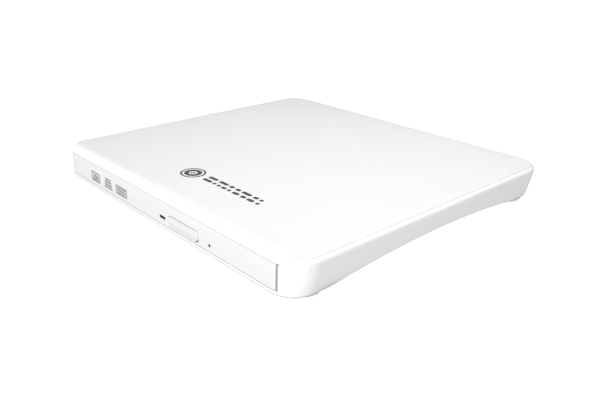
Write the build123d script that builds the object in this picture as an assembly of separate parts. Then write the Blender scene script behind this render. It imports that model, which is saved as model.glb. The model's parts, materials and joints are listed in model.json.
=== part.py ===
from build123d import *
import math
import os

# Slim external disc drive, drawer closed, one STEP file per piece.
# X runs right, Y to the rear, Z up; the origin lies on the table under the
# middle of the case. All lengths are in mm.

os.makedirs("parts", exist_ok=True)

# ---------------------------------------------------------- main dimensions
case_width, case_depth, case_height = 148.9, 142.8, 13.9
plan_radius = 10.6
foot_height = 1.0
wall = 1.6
floor_top = 2.1
floor_inside = 1.9  # parts standing on the floor start inside it

half_width = case_width / 2
front_y = -case_depth / 2

# outer form of the lower case: z, inset of sides and rear, inset of front
form_levels = [
    (foot_height, 2.05, 0.35),
    (1.45, 1.75, 0.0),
    (4.0, 1.15, 0.0),
    (8.0, 0.5, 0.0),
    (11.25, 0.0, 0.0),
    (11.8, 0.55, 0.25),
]
cavity_levels = [(floor_top, 1.6, 0.0)] + form_levels[2:5] + [(12.4, 0.0, 0.0)]

# drawer front
bezel_z0, bezel_z1 = 2.85, 11.8
bezel_thickness = 2.0
bezel_right = 65.6
post_left = 66.4
wing_rear = -60.0
button_x0, button_x1, button_z0, button_z1 = 8.6, 27.0, 3.72, 7.8
button_proud = 0.45
led_x0, led_x1, led_z0, led_z1 = 3.25, 6.85, 5.15, 6.25
pin_hole_x, pin_hole_z, pin_hole_r = 33.2, 5.15, 0.6

# drawer, its deck and the disc's axis
spin_x, spin_y = 0.0, -5.5
well_radius = 61.2
deck_z0, deck_z1 = 7.4, 8.2
tray_z0, tray_z1 = 3.7, 10.4
tray_front, tray_rear = -69.4, 57.0
cover_z0, cover_z1 = tray_z0, 4.1
board_z0, board_z1 = 4.3, 4.9

# frames on the disc's axis; in "sled" local x runs out along the pickup's path
spindle = Pos(spin_x, spin_y, 0)
sled = spindle * Rot(0, 0, 135)

SIDES = (-1, 1)


# ------------------------------------------------------------------ helpers
def block(x0, x1, y0, y1, z0, z1):
    centre = Pos((x0 + x1) / 2, (y0 + y1) / 2, (z0 + z1) / 2)
    return centre * Box(abs(x1 - x0), abs(y1 - y0), abs(z1 - z0))


def rod_z(x, y, z0, z1, radius):
    return Pos(x, y, (z0 + z1) / 2) * Cylinder(radius, z1 - z0)


def rod_x(y, z, x0, x1, radius):
    return Pos((x0 + x1) / 2, y, z) * Rot(0, 90, 0) * Cylinder(radius, abs(x1 - x0))


def rod_y(x, z, y0, y1, radius):
    return Pos(x, (y0 + y1) / 2, z) * Rot(90, 0, 0) * Cylinder(radius, y1 - y0)


def ring(x, y, z0, z1, inner, outer):
    return rod_z(x, y, z0, z1, outer) - rod_z(x, y, z0 - 1, z1 + 1, inner)


def plate(points, z0, z1):
    return extrude(Pos(0, 0, z0) * Polygon(*points, align=None), amount=z1 - z0)


def rounded_block(x0, x1, y0, y1, z0, z1, radius):
    """Block with rounded vertical edges."""
    outline = RectangleRounded(x1 - x0, y1 - y0, radius)
    return extrude(Pos((x0 + x1) / 2, (y0 + y1) / 2, z0) * outline, amount=z1 - z0)


def slot_bar(x0, x1, z0, z1, y0, y1, radius=None):
    """Bar along Y with rounded corners, round-ended unless a radius is given."""
    if radius is None:
        radius = (z1 - z0) / 2 - 0.001
    outline = RectangleRounded(x1 - x0, z1 - z0, radius)
    section = Plane.XZ * Pos((x0 + x1) / 2, (z0 + z1) / 2) * outline
    return Pos(0, y0, 0) * extrude(section, amount=-(y1 - y0))


def bar_x(x0, length, y, z, width, height, radius):
    """Bar along X with rounded corners."""
    section = Plane.YZ * Pos(y, z) * RectangleRounded(width, height, radius)
    return Pos(x0, 0, 0) * extrude(section, amount=length)


def wire(path, radius):
    start = Plane(origin=path @ 0, z_dir=path % 0)
    return sweep(start * Circle(radius), path, is_frenet=True)


def case_form(levels, grow=0.0):
    """Ruled loft through the case outline at each level, grown all round."""
    sections = []
    for z, inset, front_inset in levels:
        x = half_width - inset + grow
        y0 = front_y + front_inset - grow
        y1 = -front_y - inset + grow
        outline = RectangleRounded(2 * x, y1 - y0, plan_radius + grow - 0.8 * inset)
        sections.append(Pos(0, (y0 + y1) / 2, z) * outline)
    return loft(sections, ruled=True)


def corners(x, y_front, y_rear):
    return [(-x, y_front), (x, y_front), (-x, y_rear), (x, y_rear)]


def save(name, *shapes, at=Pos(0, 0, 0)):
    """Write the solids of the shapes, placed by "at", as one file."""
    found = [at * solid for shape in shapes for solid in shape.solids()]
    piece = found[0] if len(found) == 1 else Compound(children=found)
    export_step(piece, f"parts/{name}.step")


# --------------------------------------------------------------- lower case
case_screws_at = corners(67.5, -58.8, 57.0)
feet_at = corners(66.4, -61.8, 56.0)
brackets_at = corners(67.3, -45.0, 45.0)
bridge_screws_at = [(x, 64.4) for x in (-58.0, -8.0, 12.0, 57.0)]
foot_r, foot_spigot_r, foot_recess = 6.4, 5.3, 0.4
port_x, port_z = -40.0, 6.25
label_thickness = 0.15

arch_r = 482.0
arch_tilt = math.atan2(3.5, 7.25)
arch_edge_x = 65.2


def arches(grow):
    """Tilted cylinders that cut the lower edges of both side walls as arches."""
    sine, cosine = math.sin(arch_tilt), math.cos(arch_tilt)
    shift = 6  # along the cylinder's axis
    x = arch_edge_x + arch_r * sine + shift * cosine
    z = foot_height - arch_r * cosine + shift * sine
    turn = Rot(0, 90 - math.degrees(arch_tilt), 0)
    tool = Pos(x, 0, z) * turn * Cylinder(arch_r + grow, 40)
    right = tool & block(60, 82, -66, 66, -4, 12)
    return [right, right.mirror(Plane.YZ)]


outer = case_form(form_levels)
for arch in arches(0):
    outer -= arch
cavity = case_form(cavity_levels, -wall)
for arch in arches(1.2):
    cavity -= arch
shell = outer - cavity

# front opening, from the left corner to the right post, and its sill
sill_z = 2.65
lip_front = front_y + 0.9
shell -= block(-80, post_left, -80, -66, sill_z, 13)
shell -= block(-80, -60, -80, wing_rear + 0.35, sill_z, 13)
sill = block(-70, post_left, lip_front, -69.7, floor_inside, sill_z)
shell += sill & case_form(form_levels)
# return wall behind the right corner post
return_wall = block(post_left, 67.5, lip_front, -62.9, floor_inside, 11.2)
shell += return_wall & case_form(form_levels, -0.4)

# bosses for the case screws, pads for the brackets and the bridge board
for x, y in case_screws_at:
    shell += rod_z(x, y, floor_inside, 6.5, 3.0) & case_form(form_levels, -0.8)
for x, y in brackets_at:
    shell += rod_z(x, y, floor_inside, 3.6, 2.0)
for x, y in bridge_screws_at:
    shell += rod_z(x, y, floor_inside, 3.3, 1.8)
for x, y in feet_at:
    shell -= rod_z(x, y, 0, foot_height + foot_recess, foot_spigot_r + 0.1)
for x, y in case_screws_at:
    shell -= rod_z(x, y, 0, 3.0, 2.1)
    shell -= rod_z(x, y, 2, 7, 1.1)
for x, y in brackets_at + bridge_screws_at:
    shell -= rod_z(x, y, 2.3, 4, 0.62)
# rear port cut-out and recess for the rating label
shell -= slot_bar(port_x - 4.3, port_x + 4.3, port_z - 2.35, port_z + 2.35, 68, 75, 0.6)
shell -= rounded_block(-34, 34, -22, 22, 0, foot_height + label_thickness, 2.0)
# short ribs along the rear wall
for x in (-50.0, -22.0, 30.0, 48.0):
    rib = block(x - 0.5, x + 0.5, 68.9, 69.9, floor_inside, 9.0)
    shell += rib & case_form(form_levels, -0.8)
save("bottom_shell", shell)

label = rounded_block(-33.8, 33.8, -21.8, 21.8, foot_height, foot_height + label_thickness, 1.8)
save("rating_label", label)

feet = []
for x, y in feet_at:
    foot = rod_z(x, y, 0, foot_height, foot_r)
    foot = fillet(foot.edges().group_by(Axis.Z)[0], 0.7)
    feet.append(foot + rod_z(x, y, 0.5, foot_height + foot_recess, foot_spigot_r))
save("feet", *feet)

# cross-head screws, entered from below
case_screws = []
for x, y in case_screws_at:
    screw = rod_z(x, y, 1.55, 3.0, 1.9) + rod_z(x, y, 3.0, 10.2, 0.95)
    for angle in (0, 90):
        screw -= Pos(x, y, 1.7) * Rot(0, 0, angle) * Box(2.2, 0.5, 0.9)
    case_screws.append(screw)
save("case_screws", *case_screws)

# --------------------------------------------------------------- upper case
lid_inset = 0.55
lid_z0 = 12.0
lid_outline = RectangleRounded(
    case_width - 2 * lid_inset, case_depth - lid_inset, plan_radius - 0.4
)
lid = extrude(Pos(0, -lid_inset / 2, lid_z0) * lid_outline, amount=case_height - lid_z0)
lid = fillet(lid.edges().group_by(Axis.Z)[-1], 1.6)
lid = chamfer(lid.edges().group_by(Axis.Z)[0], 0.12)
# the front edge rolls down along a quarter ellipse
roll_depth = 5.0
roll_y = front_y + roll_depth
roll_z = lid_z0 - 0.05
ellipse = Plane.YZ * Pos(roll_y, roll_z) * Ellipse(roll_depth, case_height - roll_z)
lid = lid & (block(-80, 80, roll_y, 80, 10, 15) + extrude(ellipse, amount=80, both=True))
lid -= rounded_block(-70.2, 70.2, -66.5, 67.9, 11, 12.15, 8.0)
# skirt segments that centre the lid inside the lower case: x0, x1, y0, y1
skirts = [
    (71.3, 72.3, -40, 48),
    (-72.3, -71.3, -48, 48),
    (-20, 60, 68.1, 69.1),
    (-60, -50, 68.1, 69.1),
]
for skirt in skirts:
    lid += block(*skirt, 9.6, 12.2)
for x, y in case_screws_at:
    lid += rod_z(x, y, 6.6, 12.2, 2.2)
    lid -= rod_z(x, y, 6, 11.4, 1.0)
save("top_cover", lid)

# foam pads between mechanism and lid: x0, x1, y0, y1
pads = [(-55, -25, -58, -48), (25, 55, -58, -48), (-30, 30, 44, 54)]
save("foam_pads", *[rounded_block(*pad, 11.7, 12.15, 1) for pad in pads])

# ------------------------------------------------------------- drawer front
zone = block(-80, bezel_right, -80, front_y + bezel_thickness, bezel_z0, bezel_z1)
zone += block(-80, -62, -80, wing_rear, bezel_z0, bezel_z1)
hollow_levels = [(0.5, 2.0, 0.0)] + form_levels[1:5] + [(13.0, 0.0, 0.0)]
bezel = (case_form(form_levels) & zone) - case_form(hollow_levels, -bezel_thickness)
gap = 0.2
bezel -= slot_bar(
    button_x0 - gap, button_x1 + gap, button_z0 - gap, button_z1 + gap, -80, -60
)
gap = 0.05
bezel -= slot_bar(led_x0 - gap, led_x1 + gap, led_z0 - gap, led_z1 + gap, -80, -60, 0.3)
bezel -= rod_y(pin_hole_x, pin_hole_z, -80, -60, pin_hole_r)
save("bezel", bezel)

button_y0 = front_y - button_proud
button = slot_bar(button_x0, button_x1, button_z0, button_z1, button_y0, -69.9)
button = chamfer(button.edges().group_by(Axis.Y)[0], 0.3)
# stem, retaining flange and plunger towards the switch
button += block(10.5, 25.1, -70.0, -69.3, 5.0, 6.5)
button += block(7.7, 27.9, -69.36, -68.75, 5.0, 6.5)
button += block(16.5, 19.1, -68.8, -65.95, 5.1, 6.3)
save("eject_button", button)

save("light_pipe", slot_bar(led_x0, led_x1, led_z0, led_z1, front_y - 0.02, -66.7, 0.25))

# --------------------------------------------------------------------- tray
dampers_at = [(-17.5, -12.0), (-17.5, 9.0), (53.0, -20.8), (50.0, 21.2)]  # sled frame
pivot_x, pivot_y = 28.0, -55.0
board_posts = [(-48, -60), (42, -28), (42, 38), (-48, -38)]
cover_posts = [(-54.5, -64.8), (38.5, -65.2), (-46.5, 53.0), (-18.0, 52.8)]
post_top = deck_z0 + 0.1
eject_x, eject_z = -53.8, 5.8  # axis of the eject spring

tray = block(-60, 60, tray_front, tray_rear, tray_z0, tray_z1)
tray += block(-62.4, 62.4, tray_front, tray_rear, 9.1, tray_z1)
tray -= rod_z(spin_x, spin_y, deck_z1, 11, well_radius)
tray -= block(-57, 57, tray_front + 1.8, tray_rear - 1.4, 3, deck_z0)
# finger recess at the front of the well
tray -= rod_z(0, -66.0, 9.2, 11, 11.0)
tray += block(-14, 14, tray_front, tray_front + 1.2, 9.0, tray_z1)
# T slots for the middle rails, open at the rear
for side in SIDES:
    tray -= block(side * 58.3, side * 59.5, -66.2, 60, 4.7, 7.5)
    tray -= block(side * 59.0, side * 61.0, -66.2, 60, 5.5, 6.7)
# window for the pickup, then the shelf its cover sheet lies on
tray -= (
    sled * block(-14.6, 57.5, -18.5, 18.5, 6, 9)
    + sled * block(50, 59.8, -13.2, 13.2, 6, 9)
)
tray -= (
    sled * block(-15.9, 57.9, -19.4, 19.4, 7.95, 8.3)
    + sled * block(50, 60.4, -14, 14, 7.95, 8.3)
)
# clearance over the rear board and along the latch post's path
tray -= block(-14, 55.5, 43.0, 60, 3, deck_z0)
tray -= block(47.2, 52.8, -43.5, 60, 3, 5.3)
# studs for the dampers and the latch pivot, posts for board and under cover
for u, v in dampers_at:
    tray += sled * Pos(u, v, 0) * rod_z(0, 0, 4.15, post_top, 1.0)
tray += rod_z(pivot_x, pivot_y, 4.15, post_top, 1.0)
for posts, post_z0, post_r in ((board_posts, board_z1, 1.6), (cover_posts, cover_z1, 1.7)):
    for x, y in posts:
        tray += rod_z(x, y, post_z0, post_top, post_r)
        tray -= rod_z(x, y, 4.0, 7.0, 0.6)
# passages through the front wall: button, its plunger, light pipe, pin
tray -= block(7.3, 28.3, -70, -68.3, 4.65, 6.85)
tray -= block(16.2, 19.4, -70, -66, 4.8, 6.6)
gap = 0.15
tray -= block(led_x0 - gap, led_x1 + gap, -70, -66, led_z0 - gap, led_z1 + gap)
tray -= rod_y(pin_hole_x, pin_hole_z, -71, -66, pin_hole_r + 0.2)
# housing of the eject spring
tray += block(-56.9, -51.0, 33.0, 55.7, 7.3, 7.5)
tray -= rod_y(eject_x, eject_z, 54, 58, 1.45)
tray += block(-56.0, -51.6, 33.0, 34.2, 4.2, 7.5)
tray -= rod_y(eject_x, eject_z, 32, 35, 0.8)
save("tray", tray)

# thin steel sheet closing the tray from below
cover_outline = [
    (-56.8, -67.4), (46.0, -67.4), (46.0, 42.6), (-14.6, 42.6), (-14.6, 55.4), (-56.8, 55.4),
]
cover = plate(cover_outline, cover_z0, cover_z1)
cover -= block(-1.6, 12.6, 34.9, 38.2, 3, 5)
for x, y in cover_posts:
    cover -= rod_z(x, y, 3, 5, 0.75)
cover -= sled * rounded_block(8, 44, -8, 8, 3, 5, 3)
for x, y in [(36, 10), (36, -12), (-30, -50)]:
    cover -= rounded_block(x - 4, x + 4, y - 1, y + 1, 3, 5, 0.9)
save("tray_undercover", cover)

# the under cover's screw heads lie flush within the sheet
tray_screws = [
    rod_z(x, y, 3.72, cover_z1, 0.7) + rod_z(x, y, 4.05, 6.6, 0.55) for x, y in cover_posts
]
tray_screws += [
    rod_z(x, y, 4.12, board_z0, 1.3) + rod_z(x, y, board_z0, 6.6, 0.55)
    for x, y in board_posts
]
save("tray_screws", *tray_screws)

# main board of the tray, cut away around the pickup's path
board_outline = [
    (-55, -66.5), (24, -66.5), (24, -32), (45.5, -32), (45.5, 42), (-13, 42), (-13, 38.5),
    (31.75, -6.25), (4.25, -33.75), (-55, -33.75),
]
board = plate(board_outline, board_z0, board_z1)
board -= block(-1.4, 12.4, 35.9, 37.2, 4, 5)
board -= rod_z(-54.5, -64.8, 4, 5, 2.0)
for x, y in board_posts:
    board -= rod_z(x, y, 4, 5, 0.75)
save("tray_board", board)

# chips: x0, x1, y0, y1, top, corner radius
chip_sizes = [
    (28, 41, 3, 16, 6.2, 0.4),
    (30, 39, -20, -11, 6.0, 0.4),
    (18, 26, 24, 34, 6.0, 0.3),
    (-40, -31, -60, -51, 5.9, 0.3),
    (-26, -20, -58, -52, 5.8, 0.3),
]
chips = [
    rounded_block(x0, x1, y0, y1, board_z1, z1, radius)
    for x0, x1, y0, y1, z1, radius in chip_sizes
]
for i in range(6):
    chips.append(block(29 + 2.2 * i, 30.2 + 2.2 * i, 19.5, 20.3, board_z1, 5.5))
for i in range(5):
    chips.append(block(-12 + 2.5 * i, -10.4 + 2.5 * i, -50, -49.1, board_z1, 5.5))
for x, y in [(-46, -50), (-14, -58), (14, -45), (40, 24)]:
    chips.append(rod_z(x, y, board_z1, 6.4, 1.6))
chips.append(block(42.3, 44.7, -7, -3, board_z1, 6.1))
save("tray_chips", *chips)

socket = block(-1.2, 12.2, 32.0, 35.8, board_z1, 6.4)
socket -= block(-0.7, 11.7, 33.5, 36.5, 5.25, 5.7)
save("tray_ffc_socket", socket)

switch = block(14.8, 20.8, -65.0, -61.6, board_z1, 7.0)
switch += block(16.6, 19.0, -65.5, -64.9, 5.2, 6.2)
save("eject_switch", switch)

led = block(3.6, 6.5, -66.4, -64.6, board_z1, 6.5)
led -= block(3.9, 6.2, -66.5, -66.2, 5.1, 6.3)
save("status_led", led)

# --------------------------------------- pickup transport (in the sled frame)
guide_v, guide_z = 13.5, 6.05  # axes of the guide rods, at +v and -v
screw_v, screw_z = 17.0, 6.3  # axis of the lead screw
screw_lead = 3.0
groove_start = 8.0
lens_u = 21.5  # place of the lens along its travel, at rest
chassis_z0, chassis_z1 = 4.25, 4.95

chassis_outline = RectangleRounded(81, 36, 3.0)
chassis = extrude(Pos(20.5, 0, chassis_z0) * chassis_outline, amount=0.7)
for u, v in dampers_at:
    chassis += rod_z(u, v, chassis_z0, chassis_z1, 3.2)
    if abs(v) > 18:
        edge_v = math.copysign(17.0, v)
        chassis += block(u - 3.2, u + 3.2, v, edge_v, chassis_z0, chassis_z1)
chassis -= rounded_block(10.6, 59.2, -15.6, 15.6, 4, 5.5, 1.0)
chassis -= block(-15.0, 1.0, 12.6, 22, 4, 5.5)
# upright holders at the rod ends and the screw ends
for u0, u1 in ((8.0, 10.4), (59.3, 61.0)):
    for side in SIDES:
        chassis += block(u0, u1, side * 11.9, side * 15.3, 4.6, 7.25)
chassis += block(57.6, 59.2, 15.7, 18.4, 4.6, 7.35)
chassis += block(1.2, 2.6, 15.2, 18.4, 4.6, 7.35)
for side in SIDES:
    chassis -= rod_x(side * guide_v, guide_z, 8.4, 62, 1.02)
chassis -= rod_x(screw_v, screw_z, -3, 58.5, 0.64)
chassis -= rod_x(screw_v, screw_z, 2.6, 57.6, 1.3)
chassis -= rod_z(0, 0, 4, 5.4, 1.9)
for u, v in dampers_at:
    chassis -= rod_z(u, v, 4, 5.4, 1.85)
save("traverse_chassis", chassis, at=sled)

dampers = [
    rod_z(u, v, chassis_z1, 6.9, 2.6) + rod_z(u, v, 4.2, 5.0, 1.8) - rod_z(u, v, 4, 7.5, 1.02)
    for u, v in dampers_at
]
save("dampers", *dampers, at=sled)
guides = [rod_x(side * guide_v, guide_z, 8.5, 60.9, 1.0) for side in SIDES]
save("guide_rods", *guides, at=sled)

lead_screw = rod_x(0, 0, 2.75, 57.45, 1.2) + rod_x(0, 0, -1.2, 58.3, 0.6)
groove = Pos(groove_start, 0, 0) * Rot(0, 90, 0) * Helix(screw_lead, 48.0, 1.28)
lead_screw = lead_screw - wire(groove, 0.42)
save("lead_screw", lead_screw, at=sled * Pos(0, screw_v, screw_z))

motor = bar_x(-13.6, 12.0, screw_v, 5.85, 7.0, 3.1, 1.2)
motor -= rod_x(screw_v, screw_z, -2.2, 0, 0.75)
motor += block(-13.6, -10.5, 13.0, 13.6, 5.0, 6.8)
save("sled_motor", motor, at=sled)

# die-cast pickup body, built about the lens and riding on the rods
at_lens = sled * Pos(lens_u, 0, 0)
pickup = rounded_block(-10.4, 3.2, -12.0, 12.0, 4.4, 7.3, 1.5)
pickup += block(-9.8, -6.9, -15.0, -11.5, 4.9, 7.2)
pickup += block(-0.6, 2.2, -15.0, -11.5, 4.9, 7.2)
pickup += block(-6.0, -2.0, 11.5, 14.9, 4.9, 7.2)
pickup -= block(-11, 4, 12.4, 16, 5.02, 7.08)
pickup -= rod_x(-guide_v, guide_z, -lens_u, 62 - lens_u, 1.04)
# well of the lens actuator and recess for the circuit
pickup -= rounded_block(-4.6, 2.6, -6.2, 6.2, 5.4, 8, 0.6)
pickup -= rounded_block(-9.4, -6.0, -8.0, 8.0, 6.4, 8, 0.6)
save("pickup_body", pickup, at=at_lens)

# follower tooth lying in the nearest turn of the screw's groove
tooth_u = groove_start + screw_lead * 0.75
tooth_u += round((lens_u - 4.4 - tooth_u) / screw_lead) * screw_lead
follower = block(tooth_u - 1.0, tooth_u + 1.0, 14.9, 15.6, 5.6, 7.0)
follower += rod_y(tooth_u, screw_z, 15.5, 16.0, 0.2)
save("pickup_follower", follower, at=sled)

circuit = block(-9.2, -6.2, -7.8, 7.8, 6.4, 6.75)
circuit += block(-9.0, -7.0, -7.0, 7.0, 6.7, 7.25)
save("pickup_circuit", circuit, at=at_lens)

holder = rounded_block(-3.4, 2.2, -4.6, 4.6, 5.9, 7.5, 0.6)
holder += rod_z(0, 0, 7.4, 7.75, 2.1)
holder -= rod_z(0, 0, 5, 9, 1.5)
save("lens_holder", holder, at=at_lens)

lens = Pos(0, 0, 6.9) * Cylinder(1.48, 0.7)
lens += (Pos(0, 0, 5.86) * Sphere(1.9)) & rod_z(0, 0, 7.2, 7.72, 1.3)
save("lens", lens, at=at_lens)

magnets = [block(-3.0, 1.8, side * 5.1, side * 6.1, 5.5, 7.2) for side in SIDES]
save("focus_magnets", *magnets, at=at_lens)

sheet = block(-15.7, 57.7, -19.2, 19.2, 8.0, 8.2) + block(50, 60.2, -13.8, 13.8, 8.0, 8.2)
sheet = sheet & rod_z(0, 0, 7, 9, well_radius - 0.1)
sheet -= rod_z(0, 0, 7, 9, 14.0)
sheet -= rounded_block(12.0, 59.0, -7.2, 7.2, 7, 9, 2.0)
save("optics_cover", sheet, at=sled)

# --------------------------------------------- spindle (about the disc's axis)
hub_radius = 7.4
pole_count = 9
pawl_count = 3
pole_turns = [Rot(0, 0, 360 / pole_count * i) for i in range(pole_count)]
pawl_turns = [Rot(0, 0, 360 / pawl_count * i + 75) for i in range(pawl_count)]

base = rod_z(0, 0, 4.95, 5.2, 10.5) + rod_z(0, 0, 4.3, 7.0, 1.7)
base -= rod_z(0, 0, 5.4, 7.5, 0.93)
save("spindle_base", base, at=spindle)

core = ring(0, 0, 5.5, 6.5, 1.75, 3.4)
coils = []
for turn in pole_turns:
    core += turn * Pos(6.0, 0, 6.0) * Box(5.6, 1.0, 1.0)
    coil = Pos(6.1, 0, 6.0) * Box(3.0, 2.1, 1.5)
    coil -= Pos(6.1, 0, 6.0) * Box(4.0, 1.02, 1.02)
    coils.append(turn * coil)
save("spindle_stator", core, *coils, at=spindle)

# cup, shaft and magnet ring
rotor = rod_z(0, 0, 5.4, 7.6, 10.4) - rod_z(0, 0, 5, 7.05, 9.9)
rotor += rod_z(0, 0, 5.5, 7.3, 0.88)
rotor += ring(0, 0, 5.5, 6.9, 9.0, 9.95)
save("spindle_rotor", rotor, at=spindle)

turntable = rod_z(0, 0, 7.6, 8.3, 7.0) + rod_z(0, 0, 8.15, 8.7, 13.5)
turntable -= ring(0, 0, 8.55, 9, 10.4, 13.3)
save("turntable", turntable, at=spindle)
save("turntable_mat", ring(0, 0, 8.55, 8.9, 10.5, 13.2), at=spindle)

hub = rod_z(0, 0, 8.7, 10.3, hub_radius)
hub_align = (Align.CENTER, Align.CENTER, Align.MIN)
hub += Pos(0, 0, 10.3) * Cone(hub_radius, 5.6, 0.8, align=hub_align)
hub -= rod_z(0, 0, 10.2, 12, 3.2)
for turn in pawl_turns:
    hub -= turn * block(4.4, 9, -1.1, 1.1, 9.2, 12)
save("hub", hub, at=spindle)

# pawls, bevelled below and above on their outer ends
pawl = block(4.5, 7.2, -1.0, 1.0, 9.25, 10.75)
pawl -= Pos(7.2, 0, 9.1) * Rot(0, 25, 0) * Box(0.8, 3, 1.6)
pawl -= Pos(6.9, 0, 11.0) * Rot(0, 35, 0) * Box(4.0, 3, 0.9)
save("hub_pawls", *[turn * pawl for turn in pawl_turns], at=spindle)

# -------------------------------------------------------------------- latch
catch_x, catch_y, catch_r = 49.5, -41.0, 1.5
hook_x, hook_y = 46.4, -38.7
release_deg = 10.6
pin_dx, pin_dy = 2.0, -6.0  # plunger pin, from the pivot
lever_z0, lever_z1 = 4.3, 4.95
pivot = Pos(pivot_x, pivot_y, 0)
solenoid_y, solenoid_z = -61.0, 5.8


def lever_arm(dx, dy, length, half_width):
    """Flat arm from the pivot towards (dx, dy)."""
    turn = Rot(0, 0, math.degrees(math.atan2(dy, dx)))
    return pivot * turn * block(0, length, -half_width, half_width, lever_z0, lever_z1)


# hooked arm, drawn locked and then turned to its released position
hook_dx, hook_dy = hook_x - pivot_x, hook_y - pivot_y
locked = lever_arm(hook_dx, hook_dy, math.hypot(hook_dx, hook_dy), 1.0)
locked += block(45.3, 50.6, -39.35, -37.6, lever_z0, lever_z1)
locked += rod_z(pivot_x, pivot_y, lever_z0, 6.2, 2.1)
lever = pivot * Rot(0, 0, release_deg) * Pos(-pivot_x, -pivot_y, 0) * locked
# lower arms carry the plunger pin and the tab behind the emergency hole
lever += lever_arm(pin_dx, pin_dy, 6.9, 0.9)
lever += lever_arm(5.2, -8.6, 10.4, 0.9)
lever += block(32.1, 34.3, -64.4, -63.7, lever_z0, 6.0)
lever += rod_z(pivot_x + pin_dx, pivot_y + pin_dy, 4.5, 6.6, 0.6)
lever -= rod_z(pivot_x, pivot_y, 4, 7, 1.05)
save("latch_lever", lever)

# solenoid frame and coil: the frame's four walls as x0, x1, y0, y1
frame_walls = [
    (43.2, 45.0, -64.0, -58.0),
    (53.2, 55.0, -64.0, -58.0),
    (44, 54, -64.0, -62.9),
    (44, 54, -59.1, -58.0),
]
frame = block(*frame_walls[0], 4.2, 7.3)
for frame_wall in frame_walls[1:]:
    frame += block(*frame_wall, 4.2, 7.3)
frame -= rod_x(solenoid_y, solenoid_z, 40, 54.0, 0.95)
winding = bar_x(45.1, 8.0, solenoid_y, solenoid_z, 3.4, 3.0, 0.8)
winding -= rod_x(solenoid_y, solenoid_z, 40, 56, 0.95)
save("solenoid", frame, winding)

plunger = rod_x(solenoid_y, solenoid_z, 32.4, 50.0, 0.9) & block(30, 56, -63, -59, 5.1, 6.6)
plunger += block(28.4, 33.0, -62.9, -59.5, 5.1, 6.3)
pin_slot = rounded_block(-0.75, 0.75, -1.2, 1.2, -2, 2, 0.7)
plunger -= Pos(pivot_x + pin_dx, pivot_y + pin_dy - 0.15, solenoid_z) * pin_slot
save("solenoid_plunger", plunger)

save("latch_spring", wire(Pos(pivot_x, pivot_y, 6.42) * Helix(0.3, 0.6, 1.75), 0.12))

eject_path = Pos(eject_x, 52.0, eject_z) * Rot(90, 0, 0) * Helix(1.15, 17.0, 1.15)
save("eject_spring", wire(eject_path, 0.16))
pusher = rod_y(eject_x, eject_z, 32.6, 55.0, 0.7) + rod_y(eject_x, eject_z, 52.4, 57.2, 1.35)
save("eject_pusher", pusher)

# ----------------------------------------------------- fixed drive chassis
side_screw_z = 9.8
side_screw_ys = (-30.0, 30.0)


def drilled_side(side, x0, x1, y0, y1, z0, z1):
    """Side wall with its two screw holes."""
    sheet = block(side * x0, side * x1, y0, y1, z0, z1)
    for y in side_screw_ys:
        sheet -= rod_x(y, side_screw_z, side * 62, side * 65, 0.85)
    return sheet


pan = block(-63.5, 63.5, -68.5, 58.0, 2.2, 2.7)
for side in SIDES:
    pan += drilled_side(side, 63.0, 63.5, -68.5, 58.0, 2.2, 11.1)
pan += block(-63.5, 63.5, 57.5, 58.0, 2.2, 11.1)
pan -= block(18.4, 46.6, 57, 59, 2.75, 7.6)
# shallow beads stamped into the sheet
for x in (-45.0, -20.0, 25.0, 40.0):
    pan -= rounded_block(x - 1.2, x + 1.2, -55, 35, 2.58, 3, 1.1)
pan -= rounded_block(46.5, 52.5, -60, -50, 2, 3, 2)
for y in (-20, 30):
    pan -= rod_z(-52, y, 2, 3, 2.5)
save("drive_base_pan", pan)

top = block(-64.0, 64.0, -68.5, 58.6, 11.2, 11.7)
for side in SIDES:
    top += drilled_side(side, 63.55, 64.0, -66.5, 57.5, 8.4, 11.7)
top += block(-62, 62, 58.1, 58.6, 8.0, 11.7)
# stamped ring and beads
top -= ring(spin_x, spin_y, 11.58, 12, 38, 40.5)
top -= rounded_block(-56, 56, -66.3, -64.0, 11.58, 12, 1)
for x in (-50.0, 50.0):
    top -= rounded_block(x - 1.2, x + 1.2, -40, 40, 11.58, 12, 1.1)
save("drive_top_plate", top)

# side screws of the chassis, then bracket screws and bridge board screws
fasteners = []
for side in SIDES:
    for y in side_screw_ys:
        shank = rod_x(y, side_screw_z, side * 62.6, side * 64.0, 0.8)
        fasteners.append(shank + rod_x(y, side_screw_z, side * 64.0, side * 64.6, 1.5))
for x, y in brackets_at:
    fasteners.append(rod_z(x, y, 2.4, 4.0, 0.6) + rod_z(x, y, 4.0, 4.6, 1.5))
for x, y in bridge_screws_at:
    fasteners.append(rod_z(x, y, 2.4, 4.3, 0.6) + rod_z(x, y, 4.3, 4.9, 1.3))
save("drive_screws", *fasteners)

# angle brackets: upright, flange and a tongue into the chassis
brackets = []
for x, y in brackets_at:
    side = math.copysign(1, x)
    bracket = block(side * 64.05, side * 64.5, y - 3.5, y + 3.5, 3.6, 8.2)
    bracket += block(side * 64.05, side * 69.5, y - 3.5, y + 3.5, 3.6, 4.0)
    bracket += block(side * 63.5, side * 64.1, y - 1.5, y + 1.5, 5.0, 7.6)
    bracket -= rod_z(x, y, 3, 5, 0.75)
    brackets.append(bracket)
save("mount_brackets", *brackets)

# slide profiles, outer to inner: x0, x1, z0, z1 of each part on the right side
guide_profile = [
    (62.0, 63.0, 3.2, 9.0),
    (60.2, 62.5, 3.2, 4.0),
    (60.2, 62.5, 8.2, 9.0),
    (60.2, 60.85, 3.6, 4.9),
    (60.2, 60.85, 7.3, 8.6),
]
rail_profile = [
    (61.0, 61.8, 4.15, 8.05),
    (59.0, 61.2, 5.7, 6.5),
    (58.5, 59.3, 4.9, 7.3),
]


def slide(profile, side, y0, y1):
    bars = [block(side * x0, side * x1, y0, y1, z0, z1) for x0, x1, z0, z1 in profile]
    result = bars[0]
    for bar in bars[1:]:
        result += bar
    return result


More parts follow.
